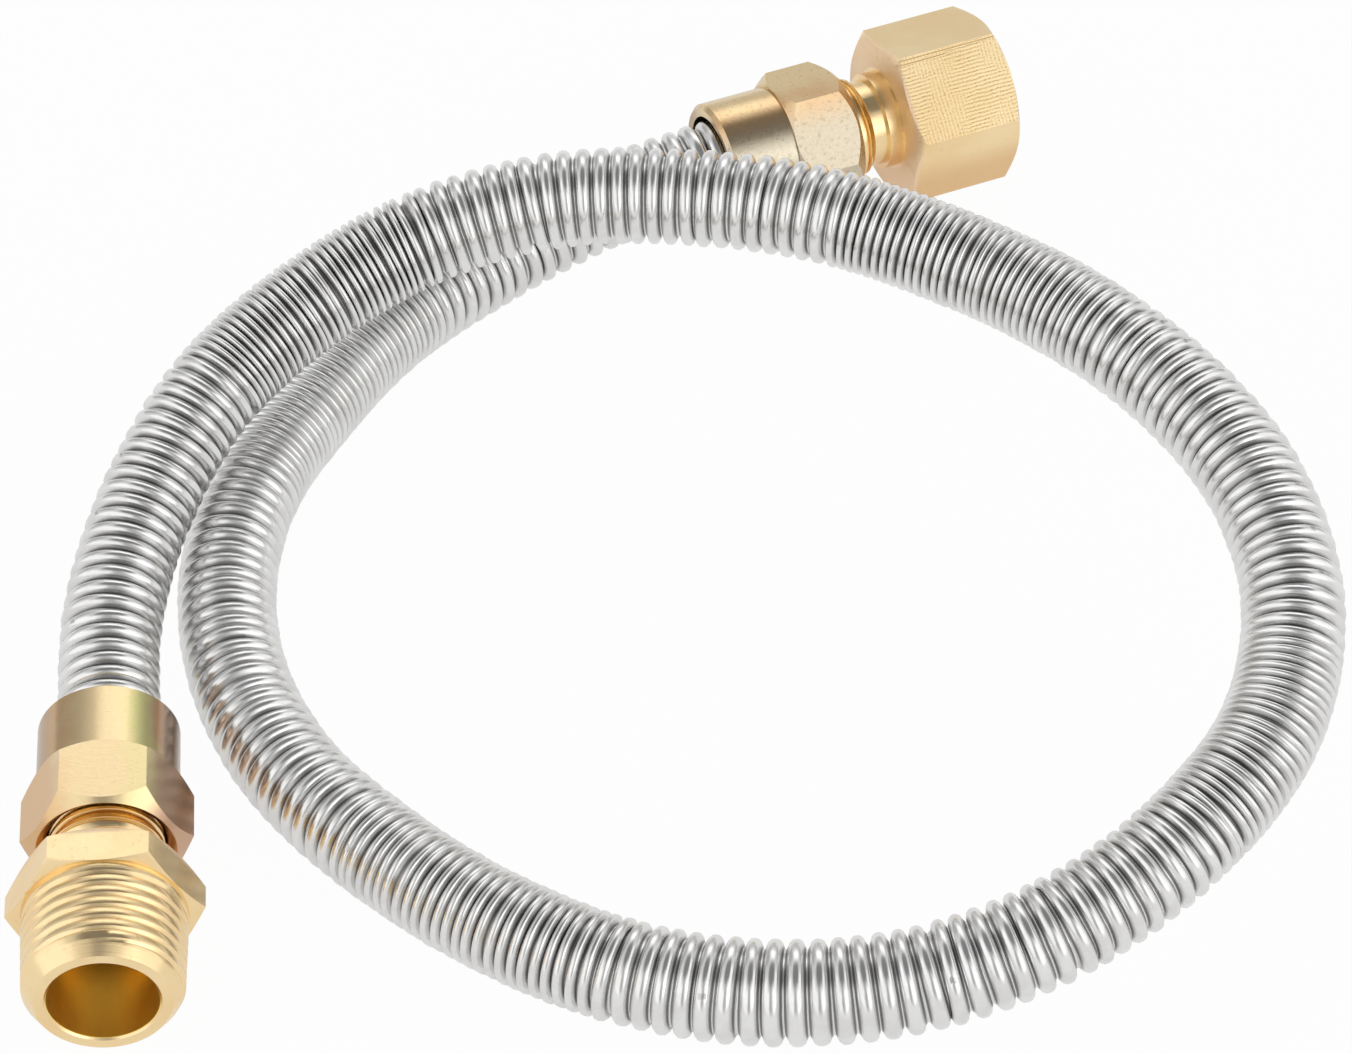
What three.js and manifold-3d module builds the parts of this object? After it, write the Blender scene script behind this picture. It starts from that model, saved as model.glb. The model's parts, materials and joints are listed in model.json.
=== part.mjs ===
// Flexible gas hose lying in one loose loop: a corrugated steel tube with a flare nut and a
// brass adapter at each end. One adapter has an outside pipe thread, the other a socket.
// Millimetres, +Z up, floor at z = 0. X runs along the socket end's axis, out of its mouth.
import * as THREE from 'three';
import { mergeVertices } from 'three/addons/utils/BufferGeometryUtils.js';
import initManifold from 'manifold-3d';

const solids = await initManifold();
solids.setup();

// Hose. Its corrugations are left plain here: the rod has the diameter of their crests.
const HOSE_OD = 13.9;
const HOSE_SIDES = 12;
const HOSE_STEPS = 60;
const HOSE_BORE_R = 4.6;
const HOSE_BORE_DEPTH = 9;
const CREST_END = 7.2;          // how far the corrugations reach into the nut
const CUFF_R = 5.4;             // plain tube end that carries the flare
const FLARE_R = 7.15;
const FLARE_WALL = 0.5;

// Gap between pieces that seat on each other, and round the cuff and the flare thread.
const SEAT_GAP = 0.3;
const CUFF_GAP = 0.3;
const THREAD_GAP = 0.3;

// Flare nut. Lengths run from the sleeve's open end.
const SLEEVE_OD = 18.8;
const SLEEVE_BEVEL = 0.6;
const SLEEVE_BORE_R = 7.6;
const SLEEVE_BORE_DEPTH = 7.6;
const SLEEVE_LENGTH = 10.6;
const NUT_LENGTH = 21.3;
const NUT_AF = 19.5;
const NUT_CHAMFER_DEG = 42;
const NUT_MOUTH_R = 9.1;        // countersink at the threaded end

// Flare end, alike on both adapters.
const NOSE_TIP_R = 4.9;
const STUB_R = 7.6;             // flare thread, outside radius
const STUB_END = 23.0;
const NECK_R = 6.6;
const COLLAR_START = 26.4;
const COLLAR_R = 7.4;
const FLARE_END_BORE_R = 4.0;
const DRILL_POINT_DEG = 59;     // half angle at the bottom of a drilled hole
const HEX_CHAMFER_DEG = 30;

// Adapter with the outside pipe thread.
const MALE_HEX_START = 27.4;
const MALE_HEX_LENGTH = 5.4;
const MALE_HEX_AF = 22.2;
const MALE_THREAD_LENGTH = 14.0;
const MALE_THREAD_TIP_R = 10.3; // crest radius where the taper would meet the end
const MALE_LEAD_R = 8.8;
const MALE_LEAD_LENGTH = 2.2;
const MALE_BORE_R = 7.15;
const MALE_BORE_DEPTH = 16.0;

// Adapter with the socket.
const SOCKET_HEX_START = 28.6;
const SOCKET_HEX_LENGTH = 17.3;
const SOCKET_HEX_AF = 23.7;
const SOCKET_R = 9.9;           // thread crests at the mouth
const SOCKET_DEPTH = 13.5;
const SOCKET_LEAD = 0.8;

// Pipe threads narrow by one part in sixteen on the diameter.
const PIPE_TAPER = 1 / 32;

// Where the fittings lie: the middle of each sleeve's open end, seen from above, the
// direction of the axis in degrees from +X, and how far each hexagon is turned from
// having a flat on top. The height comes from the hexagon that rests on the floor.
const MALE_MOUTH = [-70.69, -19.9];
const MALE_HEADING = -109.43;
const MALE_NUT_ROLL = -1.4;
const MALE_HEX_ROLL = 0;
const SOCKET_MOUTH = [49.4, 53.85];
const SOCKET_HEADING = 0;
const SOCKET_NUT_ROLL = -11.6;
const SOCKET_HEX_ROLL = -16.8;

// The hose's centreline between the two sleeves, chosen by hand. It leaves the threaded
// end, climbs over its own last stretch, rounds the loop and comes back along the floor.
const ROUTE = [
  [-64, -2, 13.5], [-53.5, 13.5, 17.5], [-39.5, 25, 23.5], [-22.5, 31, 29], [-4, 32.5, 34],
  [14.5, 28.5, 37.5], [32, 20, 38.5], [47, 8.5, 39], [60, -6, 38], [70, -22, 37],
  [77, -40, 35], [79, -58.5, 32.5], [74.5, -77, 29], [63.5, -91.5, 24], [47, -100, 19],
  [29, -103, 14], [10.5, -100.5, 9.5], [-7.5, -93.5, 7.6], [-23, -82.5, 7.1], [-35, -68, 7.1],
  [-44, -51, 7.1], [-50, -32.5, 7.1], [-50.5, -13.5, 7.1], [-45.5, 5, 7.1], [-35.5, 21.5, 7.1],
  [-21.5, 34.5, 7.1], [-6, 45.5, 7.1], [12, 53, 7.1], [30.5, 55.5, 10],
];

const ROUND_SIDES = 48;
const HEX_SIDES = 6;
const SOLID_OVERLAP = 0.5;      // how far joined blanks reach into each other

const radians = THREE.MathUtils.degToRad;

// A three.js geometry as a closed solid that can be joined and cut.
function solidOf(geometry) {
  geometry.deleteAttribute('normal');
  geometry.deleteAttribute('uv');
  const welded = mergeVertices(geometry, 1e-4);
  const corners = welded.index.array;
  const kept = [];
  for (let i = 0; i < corners.length; i += 3) {
    const [a, b, c] = corners.slice(i, i + 3);
    if (a !== b && b !== c && c !== a) kept.push(a, b, c);
  }
  return new solids.Manifold(new solids.Mesh({
    numProp: 3,
    vertProperties: new Float32Array(welded.attributes.position.array),
    triVerts: new Uint32Array(kept),
  }));
}

// A closed solid as a three.js geometry.
function geometryOf(solid) {
  const mesh = solid.getMesh();
  const geometry = new THREE.BufferGeometry();
  geometry.setAttribute('position', new THREE.BufferAttribute(mesh.vertProperties, 3));
  geometry.setIndex(new THREE.BufferAttribute(mesh.triVerts, 1));
  return geometry;
}

// Turns an outline of [distance along the axis, radius] pairs round the X axis. The outline
// goes out along the outer side and back along the inner side or the axis.
function turned(outline) {
  const points = outline.map(([u, r]) => new THREE.Vector2(r, u));
  points.push(points[0].clone());
  const geometry = new THREE.LatheGeometry(points, ROUND_SIDES);
  geometry.rotateZ(-Math.PI / 2);
  return solidOf(geometry);
}

// A hexagon bar along X from one end to the other, with a cone turned on both ends.
function hexagonBar(acrossFlats, start, end, rollDegrees, chamferDegrees) {
  const cornerR = acrossFlats / Math.sqrt(3);
  const faceR = acrossFlats / 2;
  const turn = Math.PI / HEX_SIDES;
  const bar = new THREE.CylinderGeometry(cornerR, cornerR, end - start, HEX_SIDES, 1, false, turn);
  bar.rotateZ(-Math.PI / 2);
  bar.rotateX(radians(rollDegrees));
  bar.translate((start + end) / 2, 0, 0);
  const rise = cornerR + 1 - faceR;
  const run = rise * Math.tan(radians(chamferDegrees));
  const envelope = turned([
    [start, 0], [start, faceR], [start + run, faceR + rise],
    [end - run, faceR + rise], [end, faceR], [end, 0],
  ]);
  return solidOf(bar).intersect(envelope);
}

// How high the axis of a rolled hexagon bar lies when the bar rests on the floor.
function restHeight(acrossFlats, rollDegrees) {
  const cornerR = acrossFlats / Math.sqrt(3);
  const depths = Array.from({ length: HEX_SIDES }, (_, k) => {
    const corner = (360 / HEX_SIDES) * (k + 0.5);
    return -Math.cos(radians(rollDegrees + corner));
  });
  return cornerR * Math.max(...depths);
}

// The flare joint's 45 degree cones. Each gives the place along the axis for a radius,
// from the nut's seat through the hose's flare to the adapter's nose.
const NUT_THROAT_R = CUFF_R + CUFF_GAP;
const NUT_SEAT_START = 9.0;
const seatOfNut = (r) => NUT_SEAT_START + (r - NUT_THROAT_R);
const backOfFlare = (r) => seatOfNut(r) + SEAT_GAP * Math.SQRT2;
const frontOfFlare = (r) => backOfFlare(r) + FLARE_WALL * Math.SQRT2;
const noseOfAdapter = (r) => frontOfFlare(r) + SEAT_GAP * Math.SQRT2;
const NUT_THREAD_R = STUB_R + THREAD_GAP;

function flareNut(rollDegrees) {
  const sleeveR = SLEEVE_OD / 2;
  const sleeve = turned([
    [0, 0], [0, sleeveR - SLEEVE_BEVEL], [SLEEVE_BEVEL, sleeveR],
    [SLEEVE_LENGTH + SOLID_OVERLAP, sleeveR], [SLEEVE_LENGTH + SOLID_OVERLAP, 0],
  ]);
  const hexagon = hexagonBar(NUT_AF, SLEEVE_LENGTH, NUT_LENGTH, rollDegrees, NUT_CHAMFER_DEG);
  const bore = turned([
    [-1, 0], [-1, SLEEVE_BORE_R], [SLEEVE_BORE_DEPTH, SLEEVE_BORE_R],
    [SLEEVE_BORE_DEPTH, NUT_THROAT_R], [NUT_SEAT_START, NUT_THROAT_R],
    [seatOfNut(NUT_THREAD_R), NUT_THREAD_R],
    [NUT_LENGTH - (NUT_MOUTH_R - NUT_THREAD_R), NUT_THREAD_R],
    [NUT_LENGTH, NUT_MOUTH_R], [NUT_LENGTH + 1, NUT_MOUTH_R], [NUT_LENGTH + 1, 0],
  ]);
  return sleeve.add(hexagon).subtract(bore);
}

// The part of an adapter that goes into the nut, as far as its hexagon.
function flareEnd(hexStart) {
  return turned([
    [noseOfAdapter(NOSE_TIP_R), 0], [noseOfAdapter(NOSE_TIP_R), NOSE_TIP_R],
    [noseOfAdapter(STUB_R), STUB_R], [STUB_END, STUB_R],
    [STUB_END, NECK_R], [COLLAR_START, NECK_R], [COLLAR_START, COLLAR_R],
    [hexStart + SOLID_OVERLAP, COLLAR_R], [hexStart + SOLID_OVERLAP, 0],
  ]);
}

// A narrow way through an adapter that opens with a drilled bottom into a wide hole.
function steppedBore(wideOutline) {
  const [wideStart, wideR] = wideOutline[0];
  const coneLength = (wideR - FLARE_END_BORE_R) / Math.tan(radians(DRILL_POINT_DEG));
  const last = wideOutline[wideOutline.length - 1];
  return turned([
    [0, 0], [0, FLARE_END_BORE_R], [wideStart - coneLength, FLARE_END_BORE_R],
    ...wideOutline, [last[0], 0],
  ]);
}

function threadedAdapter() {
  const hexEnd = MALE_HEX_START + MALE_HEX_LENGTH;
  const tip = hexEnd + MALE_THREAD_LENGTH;
  const crestAt = (u) => MALE_THREAD_TIP_R + (tip - u) * PIPE_TAPER;
  const leadStart = tip - MALE_LEAD_LENGTH;
  const threadStart = hexEnd - SOLID_OVERLAP;
  const thread = turned([
    [threadStart, 0], [threadStart, crestAt(threadStart)], [leadStart, crestAt(leadStart)],
    [tip, MALE_LEAD_R], [tip, 0],
  ]);
  const hexagon = hexagonBar(
    MALE_HEX_AF, MALE_HEX_START, hexEnd, MALE_HEX_ROLL, HEX_CHAMFER_DEG);
  const bore = steppedBore([[tip - MALE_BORE_DEPTH, MALE_BORE_R], [tip + 1, MALE_BORE_R]]);
  return flareEnd(MALE_HEX_START).add(hexagon).add(thread).subtract(bore);
}

function socketAdapter() {
  const mouth = SOCKET_HEX_START + SOCKET_HEX_LENGTH;
  const hexagon = hexagonBar(
    SOCKET_HEX_AF, SOCKET_HEX_START, mouth, SOCKET_HEX_ROLL, HEX_CHAMFER_DEG);
  const bottom = mouth - SOCKET_DEPTH;
  const bore = steppedBore([
    [bottom, SOCKET_R - SOCKET_DEPTH * PIPE_TAPER], [mouth - SOCKET_LEAD, SOCKET_R],
    [mouth, SOCKET_R + SOCKET_LEAD], [mouth + 1, SOCKET_R + SOCKET_LEAD],
  ]);
  return flareEnd(SOCKET_HEX_START).add(hexagon).subtract(bore);
}

// The plain cuff and 45 degree flare at one end of the hose, and the bore behind them.
function hoseEnd() {
  const cuffStart = CREST_END - SOLID_OVERLAP;
  return turned([
    [cuffStart, 0], [cuffStart, CUFF_R], [backOfFlare(CUFF_R), CUFF_R],
    [backOfFlare(FLARE_R), FLARE_R], [frontOfFlare(FLARE_R), FLARE_R],
    [frontOfFlare(HOSE_BORE_R), HOSE_BORE_R], [frontOfFlare(HOSE_BORE_R), 0],
  ]);
}

function hoseBore() {
  const end = frontOfFlare(HOSE_BORE_R);
  return turned([
    [end - HOSE_BORE_DEPTH, 0], [end - HOSE_BORE_DEPTH, HOSE_BORE_R],
    [end + 1, HOSE_BORE_R], [end + 1, 0],
  ]);
}

// Places of the two ends: X along the axis, from the sleeve's mouth to the adapter's tip.
function endPlace([x, y], z, headingDegrees) {
  const place = new THREE.Matrix4().makeRotationZ(radians(headingDegrees));
  return place.setPosition(x, y, z);
}

const maleHeight = restHeight(MALE_HEX_AF, MALE_HEX_ROLL);
const socketHeight = restHeight(SOCKET_HEX_AF, SOCKET_HEX_ROLL);
const malePlace = endPlace(MALE_MOUTH, maleHeight, MALE_HEADING);
const socketPlace = endPlace(SOCKET_MOUTH, socketHeight, SOCKET_HEADING);

function hose() {
  const onAxis = (place, u) => new THREE.Vector3(u, 0, 0).applyMatrix4(place);
  const line = new THREE.CatmullRomCurve3([
    onAxis(malePlace, CREST_END), onAxis(malePlace, 0),
    ...ROUTE.map((point) => new THREE.Vector3(...point)),
    onAxis(socketPlace, 0), onAxis(socketPlace, CREST_END),
  ]);
  const section = new THREE.Shape();
  for (let k = 0; k < HOSE_SIDES; k += 1) {
    const angle = (2 * Math.PI * k) / HOSE_SIDES;
    const x = (HOSE_OD / 2) * Math.cos(angle);
    const y = (HOSE_OD / 2) * Math.sin(angle);
    if (k === 0) section.moveTo(x, y);
    else section.lineTo(x, y);
  }
  const rod = solidOf(new THREE.ExtrudeGeometry(section, {
    steps: HOSE_STEPS, bevelEnabled: false, extrudePath: line,
  }));
  return [malePlace, socketPlace].reduce((body, place) => body
    .add(hoseEnd().transform(place.elements))
    .subtract(hoseBore().transform(place.elements)), rod);
}

const STEEL = new THREE.MeshStandardMaterial({ color: 0xc9cacb, metalness: 1, roughness: 0.25 });
const ZINC = new THREE.MeshStandardMaterial({ color: 0xc9b98a, metalness: 1, roughness: 0.3 });
const BRASS = new THREE.MeshStandardMaterial({ color: 0xe6c184, metalness: 1, roughness: 0.3 });

const part = new THREE.Group();

function addPiece(name, solid, material, place) {
  const mesh = new THREE.Mesh(geometryOf(solid), material);
  mesh.name = name;
  if (place) mesh.applyMatrix4(place);
  part.add(mesh);
}

addPiece('hose', hose(), STEEL);
addPiece('male_nut', flareNut(MALE_NUT_ROLL), ZINC, malePlace);
addPiece('male_adapter', threadedAdapter(), BRASS, malePlace);
addPiece('female_nut', flareNut(SOCKET_NUT_ROLL), ZINC, socketPlace);
addPiece('female_adapter', socketAdapter(), BRASS, socketPlace);

export default part;
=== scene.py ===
"""Looks of a flexible gas hose that lies in one loose loop.

A corrugated stainless tube runs from a brass adapter with an outside pipe thread to a brass
adapter with a socket. A yellow zinc plated flare nut holds it at each end. Lengths are in
metres, +Z is up and the floor is at z = 0. The pieces ride on the bodies of the frame.
"""
import json
import logging
import math
from dataclasses import dataclass, field
from enum import Enum
from typing import Callable, Optional, Sequence, Union

import bmesh
import bpy
import numpy as np
from mathutils import Matrix, Vector


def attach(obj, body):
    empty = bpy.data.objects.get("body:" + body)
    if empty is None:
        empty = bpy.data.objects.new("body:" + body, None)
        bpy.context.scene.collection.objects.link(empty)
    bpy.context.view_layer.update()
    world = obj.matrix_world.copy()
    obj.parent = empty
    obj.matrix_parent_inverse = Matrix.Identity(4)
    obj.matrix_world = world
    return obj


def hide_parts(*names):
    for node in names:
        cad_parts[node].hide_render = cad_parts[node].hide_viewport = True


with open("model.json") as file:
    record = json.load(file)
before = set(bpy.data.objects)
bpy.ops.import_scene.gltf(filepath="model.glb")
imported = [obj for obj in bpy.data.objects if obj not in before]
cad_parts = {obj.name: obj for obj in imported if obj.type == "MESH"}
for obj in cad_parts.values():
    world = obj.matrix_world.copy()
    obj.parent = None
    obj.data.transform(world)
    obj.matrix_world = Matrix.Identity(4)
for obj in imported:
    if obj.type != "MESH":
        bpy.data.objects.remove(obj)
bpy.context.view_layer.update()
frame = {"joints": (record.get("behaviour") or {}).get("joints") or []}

LOG = logging.getLogger("gas_hose")
MM = 0.001

# Corners that lie closer than this are one corner.
SAME = 0.001 * MM

# The hose's centreline between the two sleeves, the same points as its solid has.
ROUTE = [
    (-0.0640, -0.0020, 0.0135), (-0.0535, 0.0135, 0.0175), (-0.0395, 0.0250, 0.0235),
    (-0.0225, 0.0310, 0.0290), (-0.0040, 0.0325, 0.0340), (0.0145, 0.0285, 0.0375),
    (0.0320, 0.0200, 0.0385), (0.0470, 0.0085, 0.0390), (0.0600, -0.0060, 0.0380),
    (0.0700, -0.0220, 0.0370), (0.0770, -0.0400, 0.0350), (0.0790, -0.0585, 0.0325),
    (0.0745, -0.0770, 0.0290), (0.0635, -0.0915, 0.0240), (0.0470, -0.1000, 0.0190),
    (0.0290, -0.1030, 0.0140), (0.0105, -0.1005, 0.0095), (-0.0075, -0.0935, 0.0076),
    (-0.0230, -0.0825, 0.0071), (-0.0350, -0.0680, 0.0071), (-0.0440, -0.0510, 0.0071),
    (-0.0500, -0.0325, 0.0071), (-0.0505, -0.0135, 0.0071), (-0.0455, 0.0050, 0.0071),
    (-0.0355, 0.0215, 0.0071), (-0.0215, 0.0345, 0.0071), (-0.0060, 0.0455, 0.0071),
    (0.0120, 0.0530, 0.0071), (0.0305, 0.0555, 0.0100),
]

Number = Union[float, "Socket"]
Radius = Callable[[float], float]
Placing = Callable[[float], tuple[float, float]]


class Slot(Enum):
    """Material slots of the record."""

    STEEL = "stainless"
    ZINC = "yellow_zinc"
    BRASS = "brass"


@dataclass(frozen=True)
class End:
    """Where one end's fittings lie: the sleeve's open end and the axis."""

    name: str
    mouth: Vector
    outward: Vector

    @classmethod
    def from_frame(cls, name: str) -> "End":
        """Reads an end's place from its joints.

        Args:
            name: "male" or "female".

        Returns:
            The end.
        """
        joints = {joint["name"]: joint for joint in frame["joints"]}
        mouth = Vector(joints[f"{name}_nut_turn"]["pos_m"])
        outward = Vector(joints[f"{name}_adapter_slide"]["axis"]).normalized()
        return cls(name, mouth, outward)

    @property
    def heading(self) -> float:
        """Angle of the axis from +X, seen from above."""
        return math.atan2(self.outward.y, self.outward.x)

    def place(self) -> Matrix:
        """Turns a piece made along +X from the sleeve's open end to its place."""
        return Matrix.Translation(self.mouth) @ Matrix.Rotation(self.heading, 4, "Z")

    def point(self, distance: float) -> Vector:
        """The point on the axis at a distance from the sleeve's open end."""
        return self.mouth + self.outward * distance


@dataclass(frozen=True)
class FlareJoint:
    """Sizes that the nut, the hose's flare and the adapters' noses share."""

    throat_r: float = 5.7 * MM
    seat_start: float = 9.0 * MM
    gap: float = 0.3 * MM
    wall: float = 0.5 * MM
    stub_r: float = 7.6 * MM
    stub_end: float = 24.1 * MM
    thread_gap: float = 0.3 * MM
    pitch: float = 1.411 * MM

    def seat(self, r: float) -> float:
        """Place of the nut's 45 degree seat at a radius."""
        return self.seat_start + r - self.throat_r

    def flare_back(self, r: float) -> float:
        """Place of the flare's outer side at a radius."""
        return self.seat(r) + self.gap * math.sqrt(2)

    def flare_front(self, r: float) -> float:
        """Place of the flare's inner side at a radius."""
        return self.flare_back(r) + self.wall * math.sqrt(2)

    def nose(self, r: float) -> float:
        """Place of an adapter's nose at a radius."""
        return self.flare_front(r) + self.gap * math.sqrt(2)


FLARE = FlareJoint()


@dataclass(frozen=True)
class Thread:
    """A screw thread along +X whose turns run out at 45 degrees at both ends."""

    start: float
    end: float
    pitch: float
    crest_r: Radius
    depth: float
    inside: bool = False
    steps: int = 48

    # Plain stretch that a thread leaves between itself and the next edge.
    PLAIN = 0.3 * MM

    # Turns that are wound beyond each end and then cut off.
    SPARE = 1.5

    # Height across one turn of the thread, as (share of the pitch, share of the depth).
    FORM = ((0.0, 0.0), (0.04, 0.0), (0.21, 0.88), (0.27, 1.0), (0.73, 1.0), (0.79, 0.88),
            (0.96, 0.0), (1.0, 0.0))

    def limits(self, place: float) -> tuple[float, float]:
        """Gives the lowest and highest radius at a place."""
        low = self.crest_r(place) - (0.0 if self.inside else self.depth)
        return low, low + max(0.0, min(self.depth, place - self.start, self.end - place))

    def skin(self) -> bmesh.types.BMesh:
        """Winds the thread's form round the axis and cuts it square at both ends.

        Returns:
            An open skin whose two rims are flat.
        """
        mesh = bmesh.new()
        layer = mesh.verts.layers.float.new("height")
        first = self.start - self.SPARE * self.pitch
        corners = []
        for share, height in self.FORM:
            corner = mesh.verts.new((first + share * self.pitch, self.crest_r(first), 0.0))
            corner[layer] = height
            corners.append(corner)
        edges = [mesh.edges.new(pair) for pair in zip(corners, corners[1:])]
        turns = math.ceil((self.end - self.start) / self.pitch) + round(2 * self.SPARE)
        bmesh.ops.spin(
            mesh, geom=corners + edges, cent=(0, 0, 0), axis=(1, 0, 0),
            dvec=(self.pitch / self.steps, 0, 0), angle=math.tau * turns,
            steps=self.steps * turns, use_merge=False, use_duplicate=False)
        bmesh.ops.remove_doubles(mesh, verts=mesh.verts[:], dist=SAME * 2)
        for vert in mesh.verts:
            drop = self.depth * (1 - vert[layer])
            wanted = self.crest_r(vert.co.x) + (drop if self.inside else -drop)
            low, high = self.limits(vert.co.x)
            scale = min(max(wanted, low), high) / math.hypot(vert.co.y, vert.co.z)
            vert.co.y *= scale
            vert.co.z *= scale
        for place, away in ((self.start, -1), (self.end, 1)):
            bmesh.ops.bisect_plane(
                mesh, geom=mesh.verts[:] + mesh.edges[:] + mesh.faces[:], dist=1e-8,
                plane_co=(place, 0, 0), plane_no=(away, 0, 0), clear_outer=True)
        bmesh.ops.remove_doubles(mesh, verts=mesh.verts[:], dist=SAME * 2)
        return mesh


@dataclass(frozen=True)
class PipeThread(Thread):
    """An outside pipe thread, turned to a cone at its far end, that runs out at its near end."""

    lead_r: float = 8.8 * MM
    lead_length: float = 2.2 * MM
    runout: float = 1.6 * MM

    def limits(self, place: float) -> tuple[float, float]:
        """Gives the lowest and highest radius at a place.

        Args:
            place: Distance along +X.

        Returns:
            The two radii.
        """
        full = self.crest_r(place)
        share = min(1.0, max(0.0, (place - self.start) / self.runout))
        slope = (self.crest_r(self.end - self.lead_length) - self.lead_r) / self.lead_length
        high = min(full, self.lead_r + (self.end - place) * slope)
        return min(full - self.depth * share, high), high


@dataclass(frozen=True)
class Hexagon:
    """A hexagon bar along +X whose ends are turned to a cone.

    front_cut says how far the far end's cone also cuts into the flats.
    """

    start: float
    end: float
    across_flats: float
    roll_deg: float
    chamfer_deg: float
    front_cut: float = 0.0

    @property
    def face_r(self) -> float:
        """Radius of the flat ring on each end."""
        return self.across_flats / 2

    def radius(self, angle: float) -> float:
        """Distance from the axis to the hexagon's side.

        Args:
            angle: Angle round the axis, from +Y towards +Z.

        Returns:
            The distance.
        """
        sector = math.radians(60)
        from_flat = angle - math.radians(self.roll_deg) - math.pi / 2
        off = (from_flat + sector / 2) % sector - sector / 2
        return self.face_r / math.cos(off)

    def chamfer(self, angle: float) -> float:
        """How far the cone runs along the bar at an angle round the axis."""
        return (self.radius(angle) - self.face_r) * math.tan(math.radians(self.chamfer_deg))


class Skin:
    """A closed skin that grows ring by ring along +X and back through the bore."""

    # Edges past the first angle are rounded, those past the second keep a hard shading line.
    ROUND_DEG, HARD_DEG = 24.0, 35.0

    def __init__(self, sides: int, roll_deg: float = 0.0) -> None:
        """Starts an empty skin.

        Args:
            sides: How many sides a plain ring has.
            roll_deg: How far the rings' first corner is turned round the axis.
        """
        self.mesh = bmesh.new()
        self.sides = sides
        self.roll = Matrix.Rotation(math.radians(roll_deg), 4, "X")
        self.rim: list[bmesh.types.BMEdge] = []
        self.first: list[bmesh.types.BMEdge] = []
        self.threads: list[tuple[float, float]] = []

    def circle(self, place: float, radius: float) -> None:
        """Adds a plain ring and joins it to the open rim, if there is one.

        Args:
            place: Where the ring lies along the axis.
            radius: Its radius.
        """
        stand = Matrix.Rotation(math.pi / 2, 4, "Y") @ Matrix.Rotation(math.pi / 2, 4, "Z")
        matrix = Matrix.Translation((place, 0, 0)) @ self.roll @ stand
        made = bmesh.ops.create_circle(
            self.mesh, cap_ends=False, segments=self.sides, radius=radius, matrix=matrix)
        ring = list({edge for vert in made["verts"] for edge in vert.link_edges})
        if self.rim:
            bmesh.ops.bridge_loops(self.mesh, edges=self.rim + ring)
        else:
            self.first = ring
        self.rim = ring

    def shaped(self, shape: Placing) -> None:
        """Extrudes the open rim to a new ring.

        Args:
            shape: Gives a corner's place and radius for its angle round the axis.
        """
        made = bmesh.ops.extrude_edge_only(self.mesh, edges=self.rim)["geom"]
        for vert in (item for item in made if isinstance(item, bmesh.types.BMVert)):
            angle = math.atan2(vert.co.z, vert.co.y)
            place, radius = shape(angle)
            vert.co = (place, radius * math.cos(angle), radius * math.sin(angle))
        edges = [item for item in made if isinstance(item, bmesh.types.BMEdge)]
        self.rim = [edge for edge in edges if edge.is_boundary]

    def turned(self, outline: Sequence[tuple[float, float]]) -> None:
        """Extrudes the open rim through a list of (place, radius) rings."""
        for place, radius in outline:
            self.shaped(lambda angle, ring=(place, radius): ring)

    def hexagon(self, bar: Hexagon) -> None:
        """Adds a hexagon with both its cones; the open rim becomes its far ring.

        Args:
            bar: The hexagon.
        """
        self.turned([(bar.start, bar.face_r)])
        self.shaped(lambda angle: (bar.start + bar.chamfer(angle), bar.radius(angle)))
        inset = bar.front_cut * math.tan(math.radians(bar.chamfer_deg))
        self.shaped(lambda angle: (bar.end - inset - bar.chamfer(angle), bar.radius(angle)))
        self.turned([(bar.end, bar.face_r - bar.front_cut)])

    def thread(self, thread: Thread, backwards: bool = False) -> None:
        """Adds a thread between the open rim and a new open rim at its other end.

        Args:
            thread: The thread.
            backwards: Whether the skin comes to its far end first.
        """
        wound = bpy.data.meshes.new("thread")
        made = thread.skin()
        made.to_mesh(wound)
        made.free()
        before = set(self.mesh.edges)
        self.mesh.from_mesh(wound)
        bpy.data.meshes.remove(wound)
        new = [edge for edge in self.mesh.edges if edge not in before and edge.is_boundary]
        middle = (thread.start + thread.end) / 2
        low = [edge for edge in new if edge.verts[0].co.x < middle]
        high = [edge for edge in new if edge.verts[0].co.x >= middle]
        near, far = (high, low) if backwards else (low, high)
        bmesh.ops.bridge_loops(self.mesh, edges=self.rim + near)
        self.rim = far
        self.threads.append((thread.start, thread.end))

    def close(self) -> None:
        """Joins the last ring to the first."""
        bmesh.ops.bridge_loops(self.mesh, edges=self.rim + self.first)

    def soften(self, width: float) -> None:
        """Rounds the sharp edges that aren't part of a thread.

        Args:
            width: Width of the rounding.
        """
        edges = [edge for edge in self.mesh.edges
                 if edge.calc_face_angle(0) > math.radians(self.ROUND_DEG)
                 and not any(self.on_thread(vert) for vert in edge.verts)]
        bmesh.ops.bevel(
            self.mesh, geom=edges, offset=width, offset_type="OFFSET", affect="EDGES",
            segments=2, profile=0.5, material=-1, clamp_overlap=True)

    def on_thread(self, vert: bmesh.types.BMVert) -> bool:
        """Tells whether a corner lies along one of the threads."""
        return any(low - SAME < vert.co.x < high + SAME for low, high in self.threads)

    def piece(self, name: str, place: Matrix) -> bpy.types.Object:
        """Closes the work on the skin and makes its object.

        Args:
            name: The object's name.
            place: Where the piece goes.

        Returns:
            The object, at the origin with its place in its mesh.
        """
        bmesh.ops.remove_doubles(self.mesh, verts=self.mesh.verts[:], dist=SAME)
        bmesh.ops.recalc_face_normals(self.mesh, faces=self.mesh.faces[:])
        for edge in self.mesh.edges:
            edge.smooth = edge.calc_face_angle(0) < math.radians(self.HARD_DEG)
        for face in self.mesh.faces:
            face.smooth = True
        bmesh.ops.transform(self.mesh, matrix=place, verts=self.mesh.verts[:])
        return made_object(name, self.mesh)


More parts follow.
